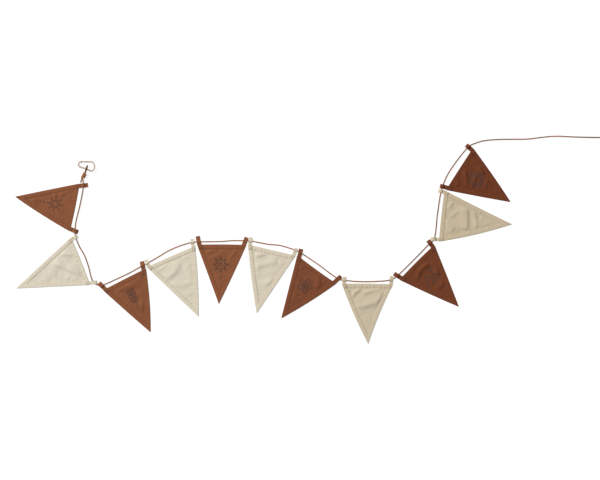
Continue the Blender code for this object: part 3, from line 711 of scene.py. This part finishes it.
def puckers(number, row, plan, from_side, normals):
    """The small gathers that the hem's stitching draws in the cloth, square to each side."""
    ripple = np.zeros(len(plan))
    chance = np.random.default_rng(PUCKER_SEED + number)
    for k in range(3):
        run = plan @ np.array([-normals[k][1], normals[k][0]])
        near = np.exp(-((from_side[:, k] - STITCH_LINE) / PUCKER_REACH) ** 2)
        height = PUCKER_HEIGHT * GATHERED.get((number, k), 1.0)
        for length in PUCKER_LENGTHS:
            ripple += height * near * np.sin(2 * math.pi * run / length + chance.uniform(0, 2 * math.pi))
    for corner in (row.first, row.second):
        ripple *= soft_step((np.linalg.norm(plan - corner, axis=1) - TAB_HOLDS) / TAB_HOLD_FADE)
    return ripple


def upper_face(number, row, plan, from_side):
    """The height of the cloth's upper face."""
    edge = from_side.min(axis=1)
    profile = np.interp(edge, *zip(*HEM_UPPER))
    normals, _ = outward_sides(corners_of(row))
    ripple = puckers(number, row, plan, from_side, normals) * soft_step(
        (edge - PUCKER_START) / PUCKER_RISE)
    return profile + cloth_lift(number, row, plan, from_side) + ripple


# The designs printed on the rust pennants are plain line motifs of the same tone and size, each with three
# dots under it: lines through the given points, in millimetres, with y running down towards the tip.
INK_HALF_WIDTH = 1.7
INK_EDGE = 0.7
DESIGN_DOWN = 0.33
DESIGN_DOTS = [(0.0, 29.0, 2.6), (0.0, 37.0, 2.1), (0.0, 44.0, 1.6)]


def around_middle(radius, turn):
    return radius * math.cos(turn), radius * math.sin(turn)


def moved(line, x, y):
    return [(px + x, py + y) for px, py in line]


def circle(radius, steps=28):
    return [around_middle(radius, 2 * math.pi * k / steps) for k in range(steps + 1)]


def petal(turn, near, far, half_width, steps=8):
    """A pointed leaf that lies between two distances from the middle, in the given direction."""
    sides = []
    for sign in (1, -1):
        for k in range(steps + 1):
            t = k / steps if sign > 0 else 1 - k / steps
            along, across = near + (far - near) * t, sign * half_width * math.sin(math.pi * t)
            sides.append((along * math.cos(turn) - across * math.sin(turn),
                          along * math.sin(turn) + across * math.cos(turn)))
    return sides


def star_outline(count, outer, inner):
    return [around_middle(inner if k % 2 else outer, math.pi * k / count - math.pi / 2)
            for k in range(2 * count + 1)]


eighths = [2 * math.pi * k / 8 for k in range(8)]
fifths = [2 * math.pi * k / 5 - math.pi / 2 for k in range(5)]
DESIGNS = {
    "sun": [circle(8.5)] + [[around_middle(12.5, t), around_middle(19, t)] for t in eighths],
    "sprig": [[(0, -20), (0.8, 0), (0, 20)]] + [
        moved(petal(turn, 1.5, 14, 3.4), 0, y) for y in (-8, 3, 14) for turn in (-0.9, math.pi + 0.9)],
    "star": [star_outline(8, 19, 9.5), circle(4)],
    "blossom": [petal(t, 5.5, 19, 5.2) for t in fifths] + [circle(3.4)],
    "hills": [[(-21, 14), (-8, -12), (1, 5), (8, -5), (21, 14), (-21, 14)], moved(circle(4), 11, -14)],
    "ring": [circle(18), circle(11)] + [
        [around_middle(13.5, t + 0.2), around_middle(15.5, t + 0.2)] for t in eighths],
}


def ink_on(row, plan):
    """How much ink lies at each point of a pennant, from 0 to 1."""
    if row.design is None:
        return np.zeros(len(plan))
    first, second, tip = corners_of(row)
    across = unit(second - first)
    down = np.array([-across[1], across[0]])
    if down.dot(tip - first) < 0:
        down = -down
    middle = ((first + second) / 2) * (1 - DESIGN_DOWN) + tip * DESIGN_DOWN
    local = np.stack([(plan - middle) @ across, (plan - middle) @ down], axis=1)
    clear = np.full(len(plan), np.inf)
    for line in DESIGNS[row.design]:
        clear = np.minimum(clear, line_distance(local, np.array(line, float))[0] - INK_HALF_WIDTH)
    for x, y, radius in DESIGN_DOTS:
        clear = np.minimum(clear, np.linalg.norm(local - (x, y), axis=1) - radius)
    return soft_step(0.5 - clear / (2 * INK_EDGE))


def canvas(name, palest, deep, ink, uneven):
    """Plain woven cotton canvas, piece dyed: dull, with the weave's threads, slubs and slightly uneven dye."""
    finish, tree, shader = new_finish(name, {
        "Roughness": 0.95, "Specular IOR Level": 0.2, "Sheen Weight": 0.03, "Sheen Roughness": 0.6})
    grain = node(tree, "UVMap", uv_map="grain")
    # The threads are 0.5 mm apart in the real cloth and too fine to show, so they are drawn 1 mm apart.
    thread_scale = 2 * math.pi / 20 * per_metre(THREAD_PITCH)
    sets, slubs = [], []
    slub_scale = (per_metre(SLUB_LONG), per_metre(SLUB_WIDE), 1)
    for direction, stretch in (("X", slub_scale), ("Y", (slub_scale[1], slub_scale[0], 1))):
        sets.append(node(tree, "TexWave", {
            "Vector": grain, "Scale": thread_scale, "Distortion": 0.6, "Detail": 1.0,
            "Detail Scale": 0.3}, bands_direction=direction).outputs["Fac"])
        slub_run = node(tree, "Mapping", {"Vector": grain, "Scale": stretch})
        slubs.append(node(tree, "TexNoise", {"Vector": slub_run, "Scale": 1.0, "Detail": 2.0}))
    woven = node(tree, "Math", {0: sets[0], 1: sets[1]}, operation="MAXIMUM")
    both_slubs = node(tree, "Math", {0: slubs[0], 1: slubs[1]}, operation="ADD")
    dye = node(tree, "TexNoise", {
        "Vector": grain, "Scale": per_metre(DYE_PATCH), "Detail": 3.0, "Roughness": 0.55})
    # Each piece lies between its cloth's palest and darkest colour: a deeper dye on the rust, together with painted
    # shade that darkens the pennants towards the right of the string.
    dye_and_shade_depth = node(tree, "Attribute", attribute_name="deep").outputs["Fac"]
    colour = node(tree, "Mix", {
        "Factor": dye_and_shade_depth, "A": linear(palest), "B": linear(deep)}, data_type="RGBA")
    if ink:
        printed = node(tree, "Attribute", attribute_name="ink").outputs["Fac"]
        print_wear_and_tab_edge = node(tree, "MapRange", {
            "Value": slubs[0], "From Min": 0.25, "From Max": 0.6, "To Min": 0.45, "To Max": 0.75})
        inked = node(tree, "Math", {0: printed, 1: print_wear_and_tab_edge}, operation="MULTIPLY")
        colour = node(tree, "Mix", {"Factor": inked, "A": colour, "B": linear(ink)}, data_type="RGBA")
    # The weave darkens the colour in the gaps between its threads, as painted shade in the weave's hollows; the
    # slubs and the dye vary the tone.
    shade = None
    for source, low, high, least, most in (
            (woven, 0.3, 1.0, 0.93, 1.02), (both_slubs, 0.75, 1.25, 0.95, 1.05),
            (dye, 0.3, 0.7, 1 - uneven, 1 + uneven)):
        part = node(tree, "MapRange", {
            "Value": source, "From Min": low, "From Max": high, "To Min": least, "To Max": most})
        shade = node(tree, "Math", {0: shade, 1: part}, operation="MULTIPLY") if shade else part
    # Painted shade: the hem's inner edge is tinted darker and warmer, and the tabs' two edges with it.
    hem_shade_and_tab_edge = node(tree, "Attribute", attribute_name="hem_shade_and_tab_edge").outputs["Fac"]
    with_hem_shade_and_tab_edge = node(tree, "Mix", {
        "Factor": hem_shade_and_tab_edge, "A": colour, "B": linear(HEM_SHADE_AND_TAB_EDGE_TINT)}, data_type="RGBA", blend_type="MULTIPLY")
    shaded = node(tree, "Mix", {
        "Factor": 1.0, "A": with_hem_shade_and_tab_edge, "B": shade}, data_type="RGBA", blend_type="MULTIPLY")
    relief = node(tree, "Math", {0: both_slubs, 1: 0.4, 2: woven}, operation="MULTIPLY_ADD")
    bump = node(tree, "Bump", {"Height": relief, "Strength": 0.35, "Distance": 0.25 * MM})
    feed(tree, shader, {"Base Color": shaded, "Normal": bump})
    return finish


PLY_TWIST = 0.4


def dyed_thread(name, hex_colour):
    """Spun polyester sewing thread: a little glossier than the cloth, with the ply's fine twist."""
    finish, tree, shader = new_finish(name, {"Roughness": 0.6})
    where = node(tree, "TexCoord").outputs["Object"]
    ply = node(tree, "TexNoise", {"Vector": where, "Scale": per_metre(PLY_TWIST), "Detail": 1.0})
    tone = node(tree, "MapRange", {
        "Value": ply, "From Min": 0.3, "From Max": 0.7, "To Min": 0.8, "To Max": 1.12})
    feed(tree, shader, {"Base Color": node(tree, "Mix", {
        "Factor": 1.0, "A": linear(hex_colour), "B": tone}, data_type="RGBA", blend_type="MULTIPLY")})
    return finish


canvases = {
    "rust": canvas("rust_cotton_canvas", RUST_PALEST, RUST_DARKEST, INK_BROWN, uneven=0.065),
    "cream": canvas("natural_cotton_canvas", CREAM_PALEST, CREAM_DARKEST, None, uneven=0.015),
}
threads = {
    "rust": dyed_thread("rust_sewing_thread", "#7c4d32"),
    "cream": dyed_thread("natural_sewing_thread", "#cdc3ac"),
}


def triangle_keys(n):
    return [(i, j, n - i - j) for i in range(n + 1) for j in range(n + 1 - i)]


def pennant_cloth(number, row):
    """One pennant's cloth as a closed thin skin: both faces, and the turned hem round its three sides."""
    n = PENNANT_GRID
    keys = triangle_keys(n)
    index = {key: k for k, key in enumerate(keys)}
    rim = [(n - k, k, 0) for k in range(n)]
    rim += [(0, n - k, k) for k in range(n)]
    rim += [(k, 0, n - k) for k in range(n)]
    _, heights = outward_sides(corners_of(row))

    def shares_at(grid, inset):
        base = inset / heights
        return base + (1 - base.sum()) * np.array(grid, float) / n

    upper_insets = [inset for inset, _ in reversed(HEM_UPPER) if inset < HEM_WIDTH]
    lower_insets = [inset for inset, _ in HEM_LOWER if 0 < inset < HEM_WIDTH]
    layers = [(keys, HEM_WIDTH, True)]
    layers += [(rim, inset, True) for inset in upper_insets]
    layers += [(rim, inset, False) for inset in lower_insets]
    layers += [(keys, HEM_WIDTH, False)]
    blocks, sides, starts, ups = [], [], [], []
    for grid, inset, up in layers:
        starts.append(sum(len(b) for b in blocks))
        plan, from_side = lay_out(row, shares_at(grid, inset))
        edge = from_side.min(axis=1)
        if up:
            z = upper_face(number, row, plan, from_side)
        else:
            z = np.interp(edge, *zip(*HEM_LOWER)) + cloth_lift(number, row, plan, from_side)
        blocks.append(np.column_stack([plan, z]))
        sides.append(from_side)
        ups.append(np.full(len(plan), float(up)))
    points = np.concatenate(blocks)
    from_side = np.concatenate(sides)
    faces = []
    for start in (starts[0], starts[-1]):
        for i in range(n):
            for j in range(n - i):
                left, right = index[i + 1, j, n - i - j - 1], index[i, j + 1, n - i - j - 1]
                faces.append((start + index[i, j, n - i - j], start + left, start + right))
                if n - i - j > 1:
                    faces.append((start + left, start + index[i + 1, j + 1, n - i - j - 2], start + right))
    loops = [[starts[0] + index[key] for key in rim]]
    loops += [[start + k for k in range(len(rim))] for start in starts[1:-1]]
    loops += [[starts[-1] + index[key] for key in rim]]
    for near, far in zip(loops, loops[1:]):
        for k in range(len(rim)):
            after = (k + 1) % len(rim)
            faces.append((near[k], near[after], far[after], far[k]))
    first, second, _ = corners_of(row)
    across = unit(second - first)
    down = np.array([-across[1], across[0]])
    grain = np.stack([(points[:, :2] - first) @ across, (points[:, :2] - first) @ down], axis=1)
    edge = from_side.min(axis=1)
    # Painted shade along the hem's inner edge, just inside its stitch line.
    hem_shade_and_tab_edge = np.exp(-((edge - STITCH_LINE - HEM_SHADE_IN) / HEM_SHADE_WIDTH) ** 2)
    return new_piece(f"pennant_{number:02d}", points, faces, canvases[row.cloth], maps={"grain": grain},
                     values={"deep": row.deep, "hem_shade_and_tab_edge": hem_shade_and_tab_edge,
                             "ink": ink_on(row, points[:, :2]) * np.concatenate(ups)})


# The hems and tabs are sewn with lockstitch, 3.2 mm a stitch, in thread of the cloth's own colour.
STITCH_PITCH = 3.2
STITCH_LENGTH = 2.5
STITCH_RADIUS = 0.31
STITCH_WIDER = 1.15
STITCH_FLATTER = 0.8
STITCH_PROUD = 0.08
STITCH_SIDES = 6
# Along a stitch: the shares of its half length and of its radius, and how far it rises.
STITCH_RINGS = [(-1.0, 0.35, -0.26), (-0.7, 0.85, 0.0), (0.0, 1.0, 0.1), (0.7, 0.85, 0.0), (1.0, 0.35, -0.26)]


def sewn(name, stitches, finish):
    """Joins stitches, each given as its middle, its direction in plan and its length, in one piece."""
    points, faces = [], []
    for middle, way, length in stitches:
        start = len(points)
        across = np.array([-way[1], way[0]])
        for along, size, rise in STITCH_RINGS:
            for k in range(STITCH_SIDES):
                turn = 2 * math.pi * k / STITCH_SIDES
                plan = (np.array(middle[:2]) + way * (along * length / 2)
                        + across * (math.cos(turn) * size * STITCH_RADIUS * STITCH_WIDER))
                points.append((*plan, middle[2] + rise + math.sin(turn) * size * STITCH_RADIUS * STITCH_FLATTER))
        faces += [tuple(start + v for v in face) for face in tube_faces(len(STITCH_RINGS), STITCH_SIDES)]
    piece = new_piece(name, points, faces, finish)
    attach(piece, "string")
    return piece


def hem_stitches(number, row):
    """The stitch line inside each of the pennant's three hems."""
    corners = corners_of(row)
    _, heights = outward_sides(corners)
    base = STITCH_LINE / heights
    rest = 1 - base.sum()
    ends = [base + rest * np.eye(3)[k] for k in range(3)]
    stitches = []
    for k in range(3):
        start, end = ends[k], ends[(k + 1) % 3]
        length = np.linalg.norm((end - start) @ corners)
        count = int(length / STITCH_PITCH)
        t = (np.arange(count) + 0.5) / count
        shares = start + (end - start) * t[:, None]
        plan, from_side = lay_out(row, shares)
        z = upper_face(number, row, plan, from_side)
        ways = unit(np.gradient(plan, axis=0))
        stitches += [((*plan[i], z[i] + STITCH_PROUD), ways[i], STITCH_LENGTH) for i in range(count)]
    return sewn(f"hem_stitches_{number:02d}", stitches, threads[row.cloth])


# Each tab is a strip of the same canvas, folded over the cord, with both its ends laid on the pennant's
# corner and sewn down through all the layers with a small crossed box of stitches.
TAB_WIDTH = {"rust": 11.0, "cream": 9.0}
TAB_ADDED_SHADE = {"rust": 0.0, "cream": 0.3}
TAB_TAIL = 12.0
TAB_EDGE_INSET = 0.6
TAB_THICK = 0.65
TAIL_LOW_Z = 2.4
TAIL_HIGH_Z = 3.05
TAIL_PRESSED = 4.0
LOW_PRESSED = 0.18
HIGH_PRESSED = 0.5
THICK_PRESSED = 0.6
UNDER_CORD_Z = 0.45
OVER_CORD_Z = 5.05
TAB_LEAVES_HEM = 1.8
CORD_BUMP = 4.2
TAB_FOLD = 0.45
TAB_FOLD_POINTS = 7
TAB_STEP = 0.75
TAB_REACH = 30.0
LOOP_FROM = 3.7
LOOP_CLEAR = 0.7
BUMP_CLEAR = 0.9
BEND_HALF = 3.0
TAB_EDGE_DARKER = 0.5
DEEPEST_DYE_AND_SHADE = 1.3
BOX_PITCH = 2.4
BOX_STITCH = 0.8
BOX_PROUD = 0.06
BOX_ACROSS = 3.1
BOX_NEAR = -1.8
BOX_FAR = -9.6
# Across a tab: the shares of its half width and of its half thickness.
TAB_SECTION = [(-1.0, 0.35), (-0.96, 0.8), (-0.85, 1.0), (-0.45, 1.0), (0.0, 1.04), (0.45, 1.0), (0.85, 1.0),
               (0.96, 0.8), (1.0, 0.35)]
box_threads = {
    "rust": dyed_thread("dark_brown_sewing_thread", "#5f3c28"),
    "cream": dyed_thread("tan_sewing_thread", "#b6a585"),
}


def tab_line(row, second):
    """A tab's root on the top edge, its outer end, and the way in which its tail runs down the hem."""
    corner = np.array(row.second if second else row.first, float)
    other = np.array(row.first if second else row.second, float)
    end = np.array(row.second_end if second else row.first_end, float)
    side = unit(corner - np.array(row.tip, float))
    edge = unit(other - corner)
    turned = abs(side[0] * edge[1] - side[1] * edge[0])
    return corner + edge * ((TAB_WIDTH[row.cloth] / 2 + TAB_EDGE_INSET) / turned), end, side


def tab_loop(name, row, second):
    """One tab as a closed band of canvas that runs out over the cord, folds, and comes back under it."""
    root, end, side = tab_line(row, second)
    half_width = TAB_WIDTH[row.cloth] / 2
    length = np.linalg.norm(end - root)
    axis = (end - root) / length
    offsets = cord_path[:, :2] - root
    inside = (np.abs(offsets @ np.array([-axis[1], axis[0]])) < half_width) & (
        np.linalg.norm(offsets, axis=1) < TAB_REACH)
    crossing = (offsets @ axis)[inside]
    middle = (crossing.min() + crossing.max()) / 2
    half_span = (crossing.max() - crossing.min()) / 2
    loop_start = max(crossing.min() - CORD_RADIUS - LOOP_CLEAR, LOOP_FROM)

    def pressed(x):
        """How far the tails are pressed flat at their cut ends, from 0 to 1."""
        return 1 - soft_step((x + TAB_TAIL) / TAIL_PRESSED)

    def low_z(x):
        return TAIL_LOW_Z - LOW_PRESSED * pressed(x) + (UNDER_CORD_Z - TAIL_LOW_Z) * soft_step(
            (x - TAB_LEAVES_HEM) / (loop_start - TAB_LEAVES_HEM))

    def high_z(x):
        base = low_z(x) + TAIL_HIGH_Z - TAIL_LOW_Z - (HIGH_PRESSED - LOW_PRESSED) * pressed(x)
        clear = np.abs(x - middle) - half_span
        return base + (OVER_CORD_Z - base) * (1 - soft_step((clear - BUMP_CLEAR) / CORD_BUMP))

    def half_thick(x):
        return TAB_THICK / 2 * (1 - THICK_PRESSED * pressed(x))

    out = np.arange(-TAB_TAIL, length - TAB_FOLD, TAB_STEP)
    turns = np.linspace(math.pi / 2, -math.pi / 2, TAB_FOLD_POINTS)
    fold_top = float(high_z(out[-1]))
    fold_z = (fold_top + UNDER_CORD_Z) / 2
    fold = [(length - TAB_FOLD + TAB_FOLD * math.cos(t), fold_z + (fold_top - fold_z) * math.sin(t))
            for t in turns]
    path = np.concatenate([np.column_stack([out, high_z(out)]), fold,
                           np.column_stack([out, low_z(out)])[::-1]])
    slope = unit(np.gradient(path, axis=0))
    normal = np.stack([-slope[:, 1], slope[:, 0]], axis=1)
    run = np.concatenate([[0.0], np.cumsum(np.linalg.norm(np.diff(path, axis=0), axis=1))])

    def place(along):
        """The plan at a distance along the tab, and the direction across it there."""
        bend = soft_step((along + BEND_HALF) / (2 * BEND_HALF))[:, None]
        way = unit(side * (1 - bend) + axis * bend)
        plan = root + np.where(along[:, None] < 0, side, axis) * along[:, None]
        return plan, np.stack([-way[:, 1], way[:, 0]], axis=1)

    around = [(share, thick) for share, thick in TAB_SECTION]
    around += [(share, -thick) for share, thick in reversed(TAB_SECTION)]
    skin, grain = [], []
    for share, thick in around:
        line = path + normal * (thick * half_thick(path[:, :1]))
        plan, across = place(line[:, 0])
        skin.append(np.column_stack([plan + across * (share * half_width), line[:, 1]]))
        grain.append(np.column_stack([run, np.full(len(run), share * half_width)]))
    points = np.stack(skin, axis=1).reshape(-1, 3)
    # The tab is tinted a little darker and warmer along its two edges.
    print_wear_and_tab_edge = np.abs(np.tile([share for share, _ in around], len(path)))
    # The natural tabs are painted darker than their pennants: painted shade that tones down the light on their
    # raised loops.
    deep = min(row.deep + TAB_ADDED_SHADE[row.cloth], DEEPEST_DYE_AND_SHADE)
    tab = new_piece(name, points, tube_faces(len(path), len(around)), canvases[row.cloth],
                    maps={"grain": np.stack(grain, axis=1).reshape(-1, 2)},
                    values={"deep": deep, "hem_shade_and_tab_edge": print_wear_and_tab_edge ** 6 * TAB_EDGE_DARKER, "ink": 0.0})
    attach(tab, "string")

    across = np.array([-side[1], side[0]])
    box = [(BOX_NEAR, -BOX_ACROSS), (BOX_NEAR, BOX_ACROSS), (BOX_FAR, BOX_ACROSS), (BOX_FAR, -BOX_ACROSS),
           (BOX_NEAR, -BOX_ACROSS), (BOX_FAR, BOX_ACROSS)]
    strokes = list(zip(box, box[1:])) + [((BOX_NEAR, BOX_ACROSS), (BOX_FAR, -BOX_ACROSS))]
    stitches = []
    for start, finish in strokes:
        p = root + side * start[0] + across * start[1]
        q = root + side * finish[0] + across * finish[1]
        stroke = np.linalg.norm(q - p)
        count = max(2, round(stroke / BOX_PITCH))
        for k in range(count):
            share = (k + 0.5) / count
            along = start[0] + (finish[0] - start[0]) * share
            stitches.append(((*(p + (q - p) * share), float(high_z(along) + half_thick(along)) + BOX_PROUD),
                             (q - p) / stroke, BOX_STITCH * stroke / count))
    return tab, stitches


for number, row in enumerate(PENNANTS, 1):
    cloth = pennant_cloth(number, row)
    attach(cloth, "string")
    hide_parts(f"flag_{number:02d}")
    hem = hem_stitches(number, row)
    box_stitches = []
    for letter, second in (("a", False), ("b", True)):
        tab, stitches = tab_loop(f"tab_loop_{number:02d}_{letter}", row, second)
        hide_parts(f"tab_{number:02d}_{letter}")
        box_stitches += stitches
    sewn(f"tab_stitches_{number:02d}", box_stitches, box_threads[row.cloth])
    corners = corners_of(row)
    _, heights = outward_sides(corners)

# The table is a plain light table, lit softly from below, so that it stays white right up to the cloth. The rest
# of the light is even too: wide daylight from the upper left, a broad white ceiling light, and a pale room.
TABLE_OPAL = "#808080"
GLOW_WHITE = "#ffffff"
TABLE_GLOW = 0.82
TABLE_HALF = 16.0
TABLE_Z = -0.0002
GRAIN_SIZE = 3.333
DAYLIGHT_FROM = (-0.8, 0.6, 0.95)
DAYLIGHT_WIDTH = math.radians(28)
DAYLIGHT_STRENGTH = 4.0
CEILING_HEIGHT = 5.5
CEILING_SIZE = 3.0
CEILING_POWER = 36.0
ROOM_LIGHT = 0.18

# Opal glass, acid etched: an even white glow with next to no shadow, and the faintest grain, which is drawn
# far coarser than the real one.
opal_glass, tree, shader = new_finish("etched_opal_glass", {
    "Roughness": 0.9, "Base Color": linear(TABLE_OPAL), "Emission Color": linear(GLOW_WHITE),
    "Emission Strength": TABLE_GLOW})
on_table = node(tree, "TexCoord").outputs["Object"]
etched = node(tree, "TexNoise", {"Vector": on_table, "Scale": per_metre(GRAIN_SIZE), "Detail": 2.0})
etched_bump = node(tree, "Bump", {"Height": etched, "Strength": 0.05, "Distance": 0.2 * MM})
feed(tree, shader, {"Normal": etched_bump})
board_mesh = bpy.data.meshes.new("table_board")
board_mesh.from_pydata([(x * TABLE_HALF, y * TABLE_HALF, TABLE_Z)
                        for x, y in ((-1, -1), (1, -1), (1, 1), (-1, 1))], [], [(0, 1, 2, 3)])
board_mesh.materials.append(opal_glass)
put_in_scene("table_board", board_mesh)

daylight_data = bpy.data.lights.new("wide_daylight", "SUN")
daylight_data.angle = DAYLIGHT_WIDTH
daylight_data.energy = DAYLIGHT_STRENGTH
daylight = put_in_scene("wide_daylight", daylight_data)
daylight.rotation_euler = (-Vector(DAYLIGHT_FROM)).to_track_quat("-Z", "Y").to_euler()
ceiling_data = bpy.data.lights.new("ceiling_light", "AREA")
ceiling_data.shape = "DISK"
ceiling_data.size = CEILING_SIZE
ceiling_data.energy = CEILING_POWER
put_in_scene("ceiling_light", ceiling_data).location = (0.0, 0.0, CEILING_HEIGHT)
room = bpy.data.worlds.new("pale_room")
room.use_nodes = True
feed(room.node_tree, room.node_tree.nodes["Background"], {"Color": linear(GLOW_WHITE), "Strength": ROOM_LIGHT})
bpy.context.scene.world = room
bpy.context.scene.view_settings.view_transform = "Standard"
